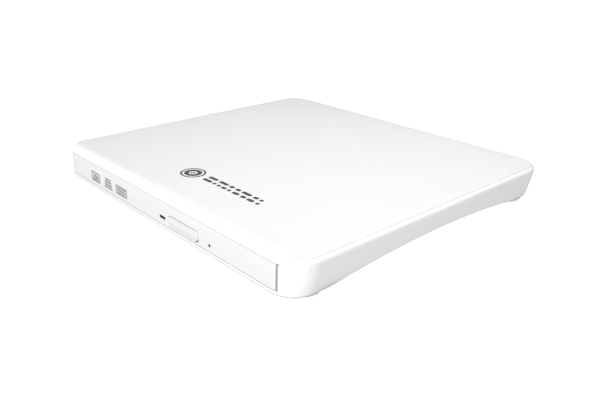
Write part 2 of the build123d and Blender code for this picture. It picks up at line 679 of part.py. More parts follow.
for name, side in (("left", -1), ("right", 1)):
    save(f"guide_{name}", slide(guide_profile, side, -67.5, 57.0))
    save(f"rail_{name}", slide(rail_profile, side, -66.0, 56.8))

save("rear_board", plate([(-12, 45.2), (54, 45.2), (54, 57.2), (-12, 57.2)], 2.95, 3.55))

plug = block(20, 45, 52.4, 57.3, 3.55, 7.0) + block(22, 43, 57.0, 62.0, 4.9, 6.1)
for i in range(13):
    plug += block(24.0 + 1.27 * i, 24.4 + 1.27 * i, 57.2, 61.6, 6.05, 6.16)
save("slimline_plug", plug)

rear_socket = block(-1.2, 12.2, 42.6, 45.2, 2.72, 3.6)
rear_socket -= block(-0.6, 11.6, 42.5, 44.0, 2.78, 2.98)
save("rear_ffc_socket", rear_socket)
save("latch_post", rod_z(catch_x, catch_y, 2.7, 4.9, catch_r))

# flat cable: lower run, upper run, fold at the front, rise into the tray's socket
cable_x0, cable_x1 = -0.5, 11.5
fold_y, fold_z = -27.5, 3.15
cable = block(cable_x0, cable_x1, fold_y, 43.9, 2.80, 2.95)
cable += block(cable_x0, cable_x1, fold_y, 36.6, 3.35, 3.50)
fold = rod_x(fold_y, fold_z, cable_x0, cable_x1, 0.35)
fold -= rod_x(fold_y, fold_z, cable_x0 - 1, cable_x1 + 1, 0.20)
cable += fold & block(cable_x0 - 1, cable_x1 + 1, fold_y - 2, fold_y, 2, 4)
cable += block(cable_x0, cable_x1, 36.45, 36.6, 3.35, 5.55)
cable += block(cable_x0, cable_x1, 34.0, 36.6, 5.40, 5.55)
save("drive_ffc", cable)

# ------------------------------------------------------------- bridge board
bridge_z0, bridge_z1 = 3.3, 4.3
bridge = rounded_block(-61.5, 60.5, 60.2, 68.0, bridge_z0, bridge_z1, 0.8)
for x, y in bridge_screws_at:
    bridge -= rod_z(x, y, 3, 5, 0.75)
save("bridge_board", bridge)

bridge_parts = [
    rounded_block(-26, -19, 60.9, 67.3, bridge_z1, 5.4, 0.4),
    block(-1.8, 3.2, 61.4, 64.6, bridge_z1, 5.6),
    rod_z(-52, 62.4, bridge_z1, 6.6, 1.5),
]
for i in range(5):
    bridge_parts.append(block(-34 + 1.4 * i, -33.2 + 1.4 * i, 61.2, 62.6, bridge_z1, 4.9))
for i in range(1, 4):
    bridge_parts.append(block(50 + 1.6 * i, 51 + 1.6 * i, 62.0, 63.0, bridge_z1, 4.9))
save("bridge_parts", *bridge_parts)

slim_socket = block(19.2, 45.8, 58.9, 66.5, bridge_z1, 7.3)
slim_socket -= block(21.6, 43.4, 58, 62.4, 4.6, 6.5)
save("slimline_socket", slim_socket)


def port_bar(half_x, half_z, y0, y1, radius):
    """Rounded bar centred on the rear port."""
    return slot_bar(
        port_x - half_x, port_x + half_x, port_z - half_z, port_z + half_z, y0, y1, radius
    )


port_shell = port_bar(3.85, 1.95, 61.5, 70.2, 0.7) - port_bar(3.45, 1.55, 62.0, 75.0, 0.5)
save("usb_shell", port_shell)

tongue = port_bar(3.4, 1.5, 62.05, 63.4, 0.6)
tongue += block(port_x - 1.9, port_x + 1.9, 63.3, 69.2, port_z - 0.35, port_z + 0.35)
for i in range(5):
    x = port_x - 1.75 + 0.8 * i
    tongue += block(x, x + 0.3, 63.3, 68.9, port_z + 0.3, port_z + 0.42)
save("usb_tongue", tongue)
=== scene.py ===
"""A slim external disc drive: white lid and lower case, a drawer with its front
panel and eject button, rubber feet, and the drawer's mechanism inside.

It stands on the floor plane with +Z up. The drawer front faces -Y and +X is to
its right. Scene units are metres; most sizes are written in millimetres.
"""
import json
import math
import random
from collections import namedtuple

import bmesh
import bpy
from mathutils import Matrix, Vector


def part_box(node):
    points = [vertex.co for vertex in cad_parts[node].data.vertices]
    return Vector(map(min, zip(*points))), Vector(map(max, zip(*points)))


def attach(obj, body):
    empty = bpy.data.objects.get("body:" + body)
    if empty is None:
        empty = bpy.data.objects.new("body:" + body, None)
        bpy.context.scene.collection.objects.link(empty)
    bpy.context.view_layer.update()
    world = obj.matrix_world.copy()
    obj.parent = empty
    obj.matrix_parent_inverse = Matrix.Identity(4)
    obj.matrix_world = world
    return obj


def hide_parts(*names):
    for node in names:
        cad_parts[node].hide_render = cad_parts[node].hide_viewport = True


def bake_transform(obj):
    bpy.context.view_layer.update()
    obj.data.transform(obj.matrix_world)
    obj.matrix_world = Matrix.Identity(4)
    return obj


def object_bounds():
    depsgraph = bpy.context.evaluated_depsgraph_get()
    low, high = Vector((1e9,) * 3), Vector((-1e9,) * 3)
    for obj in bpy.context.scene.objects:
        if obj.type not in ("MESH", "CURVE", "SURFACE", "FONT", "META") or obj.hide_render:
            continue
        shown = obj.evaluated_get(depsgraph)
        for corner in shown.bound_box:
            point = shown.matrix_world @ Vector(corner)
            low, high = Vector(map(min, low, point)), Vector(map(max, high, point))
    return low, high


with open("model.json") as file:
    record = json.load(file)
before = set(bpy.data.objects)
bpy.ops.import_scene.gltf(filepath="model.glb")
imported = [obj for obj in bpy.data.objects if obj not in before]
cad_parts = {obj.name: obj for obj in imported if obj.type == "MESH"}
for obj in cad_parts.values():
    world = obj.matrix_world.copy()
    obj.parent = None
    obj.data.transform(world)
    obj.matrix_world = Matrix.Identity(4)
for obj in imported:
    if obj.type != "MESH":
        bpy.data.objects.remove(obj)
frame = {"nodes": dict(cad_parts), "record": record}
CAD_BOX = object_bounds()

MM = 0.001
lid_lo, lid_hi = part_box("top_cover")
bezel_lo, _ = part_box("bezel")
button_lo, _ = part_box("eject_button")
feet_lo, feet_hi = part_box("feet")

LID_CORNER = 10.2 * MM      # plan radius of the lid and of the seam below it
WELL_CENTRE_Y = -5.5        # mm, centre of the disc well in the drawer


def mm(*values):
    return [value * MM for value in values]


# ---------------------------------------------------------------------------
# shader kit
# ---------------------------------------------------------------------------
INPUTS = dict(
    color="Base Color", rough="Roughness", metal="Metallic", spec="Specular IOR Level",
    coat="Coat Weight", coat_rough="Coat Roughness", trans="Transmission Weight", ior="IOR",
    aniso="Anisotropic", normal="Normal", emit="Emission Color",
    emit_strength="Emission Strength", sheen="Sheen Weight")


def rgba(color):
    if isinstance(color, (int, float)):
        return (color, color, color, 1)
    return (*color, 1)


def tone(color, factor):
    return tuple(min(1.0, channel * factor) for channel in color)


class Shader:
    """A node material around one Principled BSDF, with short ways to add nodes."""

    def __init__(self, name):
        self.material = bpy.data.materials.new(name)
        self.material.use_nodes = True
        self.tree = self.material.node_tree
        self.tree.nodes.clear()
        output = self.node("ShaderNodeOutputMaterial")
        self.bsdf = self.node("ShaderNodeBsdfPrincipled")
        self.feed(output.inputs[0], self.bsdf.outputs[0])
        self.coords = self.node("ShaderNodeTexCoord").outputs["Object"]

    def node(self, kind, **props):
        node = self.tree.nodes.new(kind)
        for key, value in props.items():
            setattr(node, key, value)
        return node

    def feed(self, socket, value):
        """Link a socket, or set a plain number or colour."""
        if isinstance(value, bpy.types.NodeSocket):
            self.tree.links.new(value, socket)
        else:
            socket.default_value = rgba(value) if socket.type == "RGBA" else value

    def mapped(self, scale, rotation=(0, 0, 0)):
        mapping = self.node("ShaderNodeMapping")
        mapping.inputs["Scale"].default_value = scale
        mapping.inputs["Rotation"].default_value = rotation
        self.feed(mapping.inputs["Vector"], self.coords)
        return mapping.outputs[0]

    def noise(self, scale, detail=3.0, rough=0.55, vector=None):
        texture = self.node("ShaderNodeTexNoise")
        texture.inputs["Scale"].default_value = scale
        texture.inputs["Detail"].default_value = detail
        texture.inputs["Roughness"].default_value = rough
        self.feed(texture.inputs["Vector"], vector or self.coords)
        return texture.outputs["Fac"]

    def voronoi(self, output, scale, randomness=1.0, **props):
        texture = self.node("ShaderNodeTexVoronoi", **props)
        texture.inputs["Scale"].default_value = scale
        texture.inputs["Randomness"].default_value = randomness
        self.feed(texture.inputs["Vector"], self.coords)
        return texture.outputs[output]

    def bands(self, direction, scale, distortion):
        wave = self.node("ShaderNodeTexWave", wave_type="BANDS", bands_direction=direction)
        wave.inputs["Scale"].default_value = scale
        wave.inputs["Distortion"].default_value = distortion
        self.feed(wave.inputs["Vector"], self.coords)
        return wave.outputs["Fac"]

    def ramp(self, factor, stops):
        """stops: (position, colour)"""
        node = self.node("ShaderNodeValToRGB")
        elements = node.color_ramp.elements
        while len(elements) > 1:
            elements.remove(elements[-1])
        elements[0].position = stops[0][0]
        elements[0].color = rgba(stops[0][1])
        for position, color in stops[1:]:
            elements.new(position).color = rgba(color)
        self.feed(node.inputs[0], factor)
        return node.outputs[0]

    def tint(self, factor, color, low, high, start=0.3, end=0.7):
        """One colour running between two tones of itself."""
        return self.ramp(factor, [(start, tone(color, low)), (end, tone(color, high))])

    def remap(self, factor, low, high, start=0.3, end=0.7):
        """start..end becomes low..high; the defaults span the usual reach of noise."""
        node = self.node("ShaderNodeMapRange")
        node.inputs["From Min"].default_value = start
        node.inputs["From Max"].default_value = end
        node.inputs["To Min"].default_value = low
        node.inputs["To Max"].default_value = high
        self.feed(node.inputs[0], factor)
        return node.outputs[0]

    def math(self, operation, a, b):
        node = self.node("ShaderNodeMath", operation=operation)
        self.feed(node.inputs[0], a)
        self.feed(node.inputs[1], b)
        return node.outputs[0]

    def mix(self, factor, a, b, blend="MIX"):
        node = self.node("ShaderNodeMix", data_type="RGBA", blend_type=blend)
        for index, value in ((0, factor), (6, a), (7, b)):
            self.feed(node.inputs[index], value)
        return node.outputs[2]

    def bump(self, height, strength, distance, normal=None):
        node = self.node("ShaderNodeBump")
        node.inputs["Strength"].default_value = strength
        node.inputs["Distance"].default_value = distance
        self.feed(node.inputs["Height"], height)
        if normal is not None:
            self.feed(node.inputs["Normal"], normal)
        return node.outputs[0]

    def finish(self, **values):
        """Feed the BSDF and return the material."""
        for key, value in values.items():
            if value is not None:
                self.feed(self.bsdf.inputs[INPUTS[key]], value)
        return self.material


# ---------------------------------------------------------------------------
# kinds of material
# ---------------------------------------------------------------------------
def plastic(name, color, rough, drift, speck, grain=0.0, grain_scale=2500.0, peel=0.0,
            coat=0.0, spec=0.5, rough_var=0.06, scuff=0.0, painted_light_by_z=None):
    """Moulded plastic.

    drift: slow change of tone; speck: depth of the fine mottling
    grain: spark-eroded texture; peel: long ripple of a polished mould
    scuff: roughness added in streaks
    painted_light_by_z: (low z, high z, tone there, tone here) eases the tone with height; this
    paints light and shade into the colour
    """
    s = Shader(name)
    slow = s.noise(scale=18.0, detail=2.0)
    fine = s.noise(scale=900.0, detail=4.0, rough=0.6)
    base = s.tint(slow, color, 1 - drift, 1 + drift)
    mottle = s.remap(fine, 0.0, 1.0, start=0.35, end=0.65)
    base = s.mix(mottle, base, s.mix(1.0, base, (1 - speck,) * 3, "MULTIPLY"))
    # painted light and shade: the colour is made lighter or darker by height
    if painted_light_by_z:
        z_low, z_high, tone_low, tone_high = painted_light_by_z
        split = s.node("ShaderNodeSeparateXYZ")
        s.feed(split.inputs[0], s.coords)
        shade = s.remap(split.outputs[2], tone_low, tone_high, start=z_low, end=z_high)
        base = s.mix(1.0, base, s.ramp(shade, [(0.0, 0.0), (1.0, 1.0)]), "MULTIPLY")
    patches = s.noise(scale=60.0, detail=3.0, rough=0.6)
    roughness = s.remap(patches, rough - rough_var, rough + rough_var)
    if scuff:
        stretched = s.mapped((90, 1400, 300), rotation=(0.2, 0.1, 0.7))
        streaks = s.noise(scale=1.0, detail=4.0, rough=0.7, vector=stretched)
        roughness = s.math("ADD", roughness, s.remap(streaks, 0.0, scuff, start=0.62, end=0.75))
    normal = None
    if peel:
        ripple = s.noise(scale=320.0, detail=1.0, rough=0.4)
        normal = s.bump(ripple, strength=peel, distance=0.00003)
    if grain:
        pitting = s.noise(scale=grain_scale, detail=3.0, rough=0.7)
        normal = s.bump(pitting, strength=grain, distance=0.00005, normal=normal)
    return s.finish(color=base, rough=roughness, coat=coat, coat_rough=0.12, spec=spec,
                    normal=normal)


# noise scale in x, y, z for each rolling direction
ROLLING = {"x": (60, 5200, 5200), "y": (5200, 60, 5200), "none": (1800, 1800, 1800)}


def steel(name, color, rough, along, streak=0.10, bump=0.12, metal=1.0, spangle=0.0):
    """Sheet metal: fine streaks along the rolling direction, cloudy patches and,
    with spangle, lighter crystal cells."""
    s = Shader(name)
    streaks = s.noise(scale=1.0, detail=4.0, rough=0.65, vector=s.mapped(ROLLING[along]))
    cloud = s.noise(scale=45.0, detail=3.0, rough=0.6)
    base = s.tint(streaks, color, 1 - streak, 1 + streak, start=0.25, end=0.75)
    base = s.mix(s.remap(cloud, 0.0, 0.35, start=0.35), base, tone(color, 0.8))
    if spangle:
        split = s.node("ShaderNodeSeparateColor")
        s.feed(split.inputs[0], s.voronoi("Color", scale=260.0))
        cells = s.remap(split.outputs[0], 0.0, spangle, start=0.0, end=1.0)
        base = s.mix(cells, base, tone(color, 1.25))
    roughness = s.math("ADD", s.remap(streaks, rough - 0.06, rough + 0.08),
                       s.remap(cloud, -0.03, 0.06))
    return s.finish(color=base, rough=roughness, metal=metal, aniso=0.35,
                    normal=s.bump(streaks, strength=bump, distance=0.00002))


def board(name):
    """Circuit board: solder mask over copper tracks, with vias."""
    mask = (0.012, 0.085, 0.035)
    covered_copper = (0.035, 0.17, 0.07)
    bare_via = (0.55, 0.45, 0.22)
    s = Shader(name)
    edges = s.voronoi("Distance", scale=330.0, randomness=0.55, feature="DISTANCE_TO_EDGE")
    tracks = s.remap(edges, 1.0, 0.0, start=0.05, end=0.12)
    squares = s.voronoi("Distance", scale=520.0, randomness=0.8, feature="F1",
                        distance="CHEBYCHEV")
    vias = s.remap(squares, 1.0, 0.0, start=0.10, end=0.14)
    cloud = s.noise(scale=70.0)
    base = s.mix(tracks, mask, covered_copper)
    base = s.mix(vias, base, bare_via)
    base = s.mix(s.remap(cloud, 0.0, 0.3), base, tone(mask, 0.5))
    height = s.math("ADD", s.math("MULTIPLY", tracks, 0.6), vias)
    roughness = s.math("ADD", s.remap(cloud, 0.28, 0.42), s.math("MULTIPLY", vias, -0.05))
    return s.finish(color=base, rough=roughness, coat=0.35, coat_rough=0.15,
                    normal=s.bump(height, strength=0.35, distance=0.00003))


def rubber(name, color, rough):
    s = Shader(name)
    fine = s.noise(scale=1600.0, detail=4.0, rough=0.7)
    slow = s.noise(scale=150.0)
    return s.finish(color=s.tint(slow, color, 0.93, 1.05),
                    rough=s.remap(fine, rough - 0.08, rough + 0.08), spec=0.3, sheen=0.15,
                    normal=s.bump(fine, strength=0.35, distance=0.00004))


def clear(name, color, rough, trans, coat, spec):
    s = Shader(name)
    fine = s.noise(scale=500.0, detail=2.0)
    slow = s.noise(scale=90.0, detail=2.0)
    return s.finish(color=s.tint(slow, color, 0.8, 1.1, start=0.2, end=0.8),
                    rough=s.remap(fine, rough, rough + 0.06), trans=trans, ior=1.5,
                    coat=coat, coat_rough=0.03, spec=spec)


def ink(name, color):
    """Matt printed ink of slightly uneven density."""
    s = Shader(name)
    fine = s.noise(scale=3000.0)
    slow = s.noise(scale=400.0)
    return s.finish(color=s.tint(slow, color, 0.9, 1.12), rough=s.remap(fine, 0.42, 0.6),
                    spec=0.35, normal=s.bump(fine, strength=0.15, distance=0.00002))


def windings(name):
    """Enamelled copper wire wound in turns along z."""
    gap, wire, crown = (0.22, 0.07, 0.025), (0.62, 0.25, 0.10), (0.75, 0.36, 0.17)
    stain = (0.30, 0.10, 0.04)
    s = Shader(name)
    turns = s.bands("Z", scale=1700.0, distortion=1.2)
    patches = s.noise(scale=900.0)
    base = s.ramp(turns, [(0.0, gap), (0.5, wire), (1.0, crown)])
    return s.finish(color=s.mix(s.remap(patches, 0.0, 0.4), base, stain),
                    rough=s.remap(patches, 0.25, 0.42, start=0.0, end=1.0), metal=0.85,
                    normal=s.bump(turns, strength=0.6, distance=0.00005))


def ribbon(name):
    """Flat cable: tinned conductors seen through a clear film."""
    film, conductor, haze = (0.60, 0.62, 0.66), (0.34, 0.33, 0.32), (0.5, 0.5, 0.52)
    s = Shader(name)
    conductors = s.bands("X", scale=314.0, distortion=0.0)
    patches = s.noise(scale=700.0)
    base = s.ramp(conductors, [(0.35, film), (0.55, conductor)])
    return s.finish(color=s.mix(s.remap(patches, 0.0, 0.2), base, haze),
                    rough=s.remap(patches, 0.22, 0.36, start=0.0, end=1.0),
                    coat=0.3, coat_rough=0.1,
                    normal=s.bump(conductors, strength=0.3, distance=0.00003))


# ---------------------------------------------------------------------------
# the materials
# ---------------------------------------------------------------------------
# painted highlight: the lid is lighter below its flat top, on the front roll and the side edges
LID = plastic("lid gloss white", (0.765, 0.765, 0.769), rough=0.40, drift=0.004, speck=0.006,
              peel=0.03, rough_var=0.03, painted_light_by_z=(0.0136, 0.01386, 1.0, 0.837))
# painted light: the drawer front is a little lighter toward its top
BEZEL = plastic("drawer front white", (0.598, 0.598, 0.600), rough=0.42, drift=0.004,
                speck=0.006, peel=0.02, rough_var=0.03, painted_light_by_z=(0.0055, 0.0118, 0.98, 1.0))
# painted shade: the button is darker toward its foot
BUTTON = plastic("button white", (0.59, 0.59, 0.592), rough=0.42, drift=0.006, speck=0.008,
                 peel=0.02, painted_light_by_z=(0.0048, 0.0061, 0.90, 1.0))
# painted shade: the lower case is darker along its lowest edge, a painted contact line
SHELL = plastic("lower case satin white", (0.66, 0.66, 0.663), rough=0.45, drift=0.004,
                speck=0.006, grain=0.04, grain_scale=3200.0, rough_var=0.03,
                painted_light_by_z=(0.00115, 0.0019, 0.56, 1.0))
# painted shade: the feet are darker toward their lowest edge, a painted outline
FOOT = plastic("foot rubber", (0.86, 0.86, 0.855), rough=0.62, drift=0.02, speck=0.03,
               grain=0.15, grain_scale=1600.0, spec=0.3, painted_light_by_z=(0.0001, 0.00055, 0.55, 1.0))
DARK = plastic("tray black", (0.020, 0.020, 0.022), rough=0.46, drift=0.10, speck=0.12,
               grain=0.35, grain_scale=2600.0, rough_var=0.08, scuff=0.10)
GUIDE = plastic("guide grey", (0.045, 0.045, 0.048), rough=0.50, drift=0.08, speck=0.10,
                grain=0.25)
GREY = plastic("acetal grey", (0.16, 0.16, 0.165), rough=0.42, drift=0.06, speck=0.06,
               grain=0.15)
COVER_BLACK = plastic("cover sheet black", (0.012, 0.012, 0.013), rough=0.40, drift=0.10,
                      speck=0.10, grain=0.30, grain_scale=1800.0, rough_var=0.10)
NATURAL = plastic("nylon natural", (0.62, 0.60, 0.55), rough=0.45, drift=0.04, speck=0.04,
                  grain=0.1)
CHIP = plastic("chip epoxy", (0.012, 0.012, 0.013), rough=0.55, drift=0.15, speck=0.2,
               grain=0.3, grain_scale=3800.0)
CONNECTOR = plastic("connector black", (0.015, 0.015, 0.016), rough=0.38, drift=0.10,
                    speck=0.1, grain=0.15)
STEEL = steel("rolled steel", (0.50, 0.50, 0.505), rough=0.34, along="y", spangle=0.10)
STEEL_X = steel("rolled steel cross", (0.48, 0.48, 0.485), rough=0.36, along="x", spangle=0.06)
BRIGHT = steel("bright steel", (0.62, 0.62, 0.625), rough=0.20, along="none", streak=0.05,
               bump=0.05)
ZINC = steel("die-cast zinc", (0.34, 0.34, 0.35), rough=0.48, along="none", bump=0.35)
BOARD = board("circuit board")
COPPER = windings("copper windings")
LENS = clear("lens glass", (0.55, 0.62, 0.85), rough=0.04, trans=0.9, coat=0.5, spec=0.5)
PIPE = clear("light pipe smoked", (0.003, 0.012, 0.008), rough=0.12, trans=0.10, coat=0.1,
             spec=0.2)
# painted shade: grey strips standing in for the shade in the gap under the drawer front and in a
# groove along the lid
PAINTED_GAP_SHADE = rubber("painted gap shade", (0.26, 0.26, 0.262), rough=0.8)
# near black: painted shade in the gap at the drawer front's right end and in the release hole, a
# painted shadow under the button's right end, and the lips and film closing openings in the tray
SHADE = rubber("dark fill and painted shade", (0.035, 0.035, 0.036), rough=0.8)
BLACK_RUBBER = rubber("black rubber", (0.02, 0.02, 0.02), rough=0.6)
FOAM = rubber("foam", (0.09, 0.09, 0.095), rough=0.85)
AMBER = plastic("flex amber", (0.45, 0.17, 0.03), rough=0.28, drift=0.1, speck=0.08,
                grain=0.1, coat=0.3)
FILM = plastic("ribbon cable white", (0.60, 0.61, 0.63), rough=0.3, drift=0.05, speck=0.05,
               coat=0.2)
RIBBON = ribbon("ribbon cable")
SILVER = steel("rating plate", (0.62, 0.62, 0.63), rough=0.42, along="x", streak=0.04,
               bump=0.05, metal=0.7)
INK = ink("mark ink", (0.055, 0.056, 0.060))
INK_SOFT = ink("bezel ink", (0.20, 0.20, 0.202))
INK_PALE = ink("bezel ink pale", (0.47, 0.47, 0.474))

BY_SLOT = dict(
    lid_white=LID, bezel_white=BEZEL, button_white=BUTTON, shell_white=SHELL,
    foot_rubber=FOOT, steel_plate=STEEL, bright_steel=BRIGHT, dark_plastic=DARK,
    grey_plastic=GREY, board_green=BOARD, chip_black=CHIP, connector_black=CONNECTOR,
    led_window=PIPE, lens_glass=LENS, copper=COPPER, cast_zinc=ZINC,
    black_rubber=BLACK_RUBBER, foam_grey=FOAM, label_silver=SILVER, film_amber=AMBER,
    film_white=FILM, hub_white=NATURAL)
# pieces that depart from their slot's material
BY_NODE = dict(
    guide_left=GUIDE, guide_right=GUIDE, rail_left=BRIGHT, rail_right=BRIGHT,
    optics_cover=COVER_BLACK, tray_undercover=STEEL_X, mount_brackets=STEEL_X,
    sled_motor=BRIGHT)


# ---------------------------------------------------------------------------
# shading of the CAD pieces
# ---------------------------------------------------------------------------
def smooth_group():
    """Shades smooth but keeps edges sharper than 32 degrees."""
    group = bpy.data.node_groups.new("smooth by angle", "GeometryNodeTree")
    for direction in ("INPUT", "OUTPUT"):
        group.interface.new_socket("Geometry", in_out=direction,
                                   socket_type="NodeSocketGeometry")
    add, link = group.nodes.new, group.links.new
    start = add("NodeGroupInput")
    end = add("NodeGroupOutput")
    weld = add("GeometryNodeMergeByDistance")
    weld.inputs["Distance"].default_value = 1e-7
    faces = add("GeometryNodeSetShadeSmooth")
    faces.domain = "FACE"
    edges = add("GeometryNodeSetShadeSmooth")
    edges.domain = "EDGE"
    angle = add("GeometryNodeInputMeshEdgeAngle")
    is_soft = add("FunctionNodeCompare")
    is_soft.operation = "LESS_EQUAL"
    is_soft.inputs[1].default_value = math.radians(32)
    link(start.outputs[0], weld.inputs[0])
    link(weld.outputs[0], faces.inputs[0])
    link(faces.outputs[0], edges.inputs[0])
    link(angle.outputs[0], is_soft.inputs[0])
    link(is_soft.outputs[0], edges.inputs["Shade Smooth"])
    link(edges.outputs[0], end.inputs[0])
    return group


SMOOTH = smooth_group()


def smooth(obj):
    obj.modifiers.new("smooth by angle", "NODES").node_group = SMOOTH


def dress_cad_pieces():
    slot_of = {part["node"]: part["material_slot"] for part in frame["record"]["subparts"]}
    for name, obj in frame["nodes"].items():
        obj.data.materials.clear()
        obj.data.materials.append(BY_NODE.get(name) or BY_SLOT[slot_of[name]])
        smooth(obj)


dress_cad_pieces()


# ---------------------------------------------------------------------------
# mesh kit
# ---------------------------------------------------------------------------
class Solids:
    """Collects closed solids into one mesh."""

    def __init__(self):
        self.verts = []
        self.faces = []

    def add(self, rings, faces):
        first = len(self.verts)
        self.verts += [point for ring in rings for point in ring]
        self.faces += [tuple(first + i for i in face) for face in faces]

    @staticmethod
    def band(a, b, n):
        """Quads between ring a and ring b of n points."""
        return [(a * n + i, a * n + (i + 1) % n, b * n + (i + 1) % n, b * n + i)
                for i in range(n)]

    def loft(self, rings):
        """Rings of equal length joined by quads, with flat ends."""
        n, count = len(rings[0]), len(rings)
        faces = [quad for a in range(count - 1) for quad in self.band(a, a + 1, n)]
        faces.append(tuple(range(n - 1, -1, -1)))
        faces.append(tuple(range((count - 1) * n, count * n)))
        self.add(rings, faces)

    def tube(self, rings):
        """Rings joined in a loop, so that the last meets the first."""
        n, count = len(rings[0]), len(rings)
        self.add(rings, [quad for a in range(count)
                         for quad in self.band(a, (a + 1) % count, n)])

    def prism(self, outline, place, a, b):
        """An outline carried straight from a to b; place is at_z or on_front."""
        self.loft([place(outline, a), place(outline, b)])

    def rim(self, inner, outer, place, a, b):
        """The band between two outlines, carried from a to b."""
        self.tube([place(inner, a), place(outer, a), place(outer, b), place(inner, b)])

    def make(self, name, material, body, *nodes):
        """Build the object, ride it on a body and let it replace CAD nodes."""
        mesh = bpy.data.meshes.new(name)
        mesh.from_pydata(self.verts, [], self.faces)
        bm = bmesh.new()
        bm.from_mesh(mesh)
        bmesh.ops.remove_doubles(bm, verts=bm.verts, dist=1e-7)
        bmesh.ops.recalc_face_normals(bm, faces=bm.faces)
        bm.to_mesh(mesh)
        bm.free()
        mesh.update()
        obj = bpy.data.objects.new(name, mesh)
        bpy.context.collection.objects.link(obj)
        mesh.materials.append(material)
        smooth(obj)
        if body:
            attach(obj, body)
        if nodes:
            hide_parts(*nodes)
        return obj


def rounded(x0, x1, y0, y1, r, segments):
    """Closed outline of a rounded rectangle, anticlockwise."""
    r = min(r, (x1 - x0) / 2 - 1e-7, (y1 - y0) / 2 - 1e-7)
    corners = ((x1 - r, y0 + r, -90), (x1 - r, y1 - r, 0),
               (x0 + r, y1 - r, 90), (x0 + r, y0 + r, 180))
    points = []
    for cx, cy, start in corners:
        for i in range(segments + 1):
            angle = math.radians(start + 90 * i / segments)
            points.append((cx + r * math.cos(angle), cy + r * math.sin(angle)))
    return points


def disc(cx, cy, r, n):
    angles = [2 * math.pi * i / n for i in range(n)]
    return [(cx + r * math.cos(angle), cy + r * math.sin(angle)) for angle in angles]


def at_z(points, z):
    return [(x, y, z) for x, y in points]


def on_front(points, y):
    """Outline drawn in x and z, placed at depth y."""
    return [(x, y, z) for x, z in points]


def ease(t):
    t = max(0.0, min(1.0, t))
    return t * t * (3 - 2 * t)


# ---------------------------------------------------------------------------
# eject button: a soft-edged pill whose face leans back towards its foot
# ---------------------------------------------------------------------------
# inset of the outline in mm, share of the full projection from the drawer front
BUTTON_PROFILE = (
    (0.0, 0.30), (0.03, 0.52), (0.10, 0.72), (0.22, 0.88),
    (0.38, 0.97), (0.58, 1.0), (0.80, 0.985), (1.10, 0.95))
# blocks behind the cap, mm: x from, to, z from, to, y from, to
BUTTON_BLOCKS = (
    (10.5, 25.1, 5.0, 6.5, -70.0, -69.3),
    (7.7, 27.9, 5.0, 6.5, -69.36, -68.75),
    (16.5, 19.1, 5.1, 6.3, -68.8, -65.95))


def button():
    x0, x1, z0, z1 = mm(8.6, 27.0, 3.72, 7.8)
    back_y = -69.9 * MM
    foot_lean = 0.72            # share of the projection lost at the foot
    proud = bezel_lo.y - button_lo.y

    def pill(inset):
        low, high = z0 + inset, z1 - inset
        return rounded(x0 + inset, x1 - inset, low, high, (high - low) / 2, 14)

    solids = Solids()
    rings = [on_front(pill(0.0), back_y)]
    for inset, out in BUTTON_PROFILE:
        ring = []
        for x, z in pill(inset * MM):
            lean = foot_lean * (1 - (z - z0) / (z1 - z0)) * max(0.0, min(1.0, (out - 0.3) / 0.6))
            ring.append((x, bezel_lo.y - proud * out * (1 - lean), z))
        rings.append(ring)
    solids.loft(rings)
    for bx0, bx1, bz0, bz1, by0, by1 in BUTTON_BLOCKS:
        outline = rounded(*mm(bx0, bx1, bz0, bz1, 0.3), 4)
        solids.prism(outline, on_front, by0 * MM, by1 * MM)
    solids.make("eject_button_cap", BUTTON, "button", "eject_button")


button()


# ---------------------------------------------------------------------------
# painted shade and a painted shadow round the drawer, and dark lips and film closing openings in
# the tray
# ---------------------------------------------------------------------------
def gap_painted_shade_strips():
    """Painted shade: a dark strip in the gap below the drawer front and an upright one in the gap
    at its right end.
    """
    low = Solids()
    low.prism(rounded(*mm(-64.0, 65.2, -71.1, -70.1, 0.3), 4), at_z, *mm(2.65, 2.76))
    low.make("gap_painted_shade_low", PAINTED_GAP_SHADE, "case")
    side = Solids()
    side.prism(rounded(*mm(66.22, 66.39, -70.75, -68.0, 0.05), 4), at_z, *mm(3.0, 11.2))
    side.make("gap_painted_shade_side", SHADE, "case")


# painted shade: a dark sleeve inside the release hole stands in for the shade in it
def release_hole_painted_shade():
    x, z, outer_radius, inner_radius = mm(33.2, 5.15, 0.595, 0.42)
    outer, inner = disc(x, z, outer_radius, 32), disc(x, z, inner_radius, 32)
    front_y, back_y = bezel_lo.y + 0.00012, -69.45 * MM
    solids = Solids()
    solids.tube([on_front(outer, front_y), on_front(outer, back_y),
                 on_front(inner, back_y), on_front(inner, front_y)])
    solids.make("release_hole_painted_shade", SHADE, "drawer")


def button_end_painted_shadow():
    """Dark crescent under the button's right end: a painted shadow of the gap there."""
    cx, cz, radius = 24.96, 5.76, 2.13      # mm
    start, sweep, steps = -84, 66, 24       # degrees
    thin, swell = 0.07, 0.30                # mm, width at the tips and gain midway
    inner, outer = [], []
    for i in range(steps + 1):
        angle = math.radians(start + sweep * i / steps)
        width = thin + swell * math.sin(math.pi * i / steps) ** 0.8
        for points, r in ((inner, radius), (outer, radius + width)):
            points.append(((cx + r * math.cos(angle)) * MM, (cz + r * math.sin(angle)) * MM))
    solids = Solids()
    solids.prism(outer + inner[::-1], on_front, bezel_lo.y + 0.00030, bezel_lo.y - 0.000015)
    solids.make("button_end_painted_shadow", SHADE, "drawer")


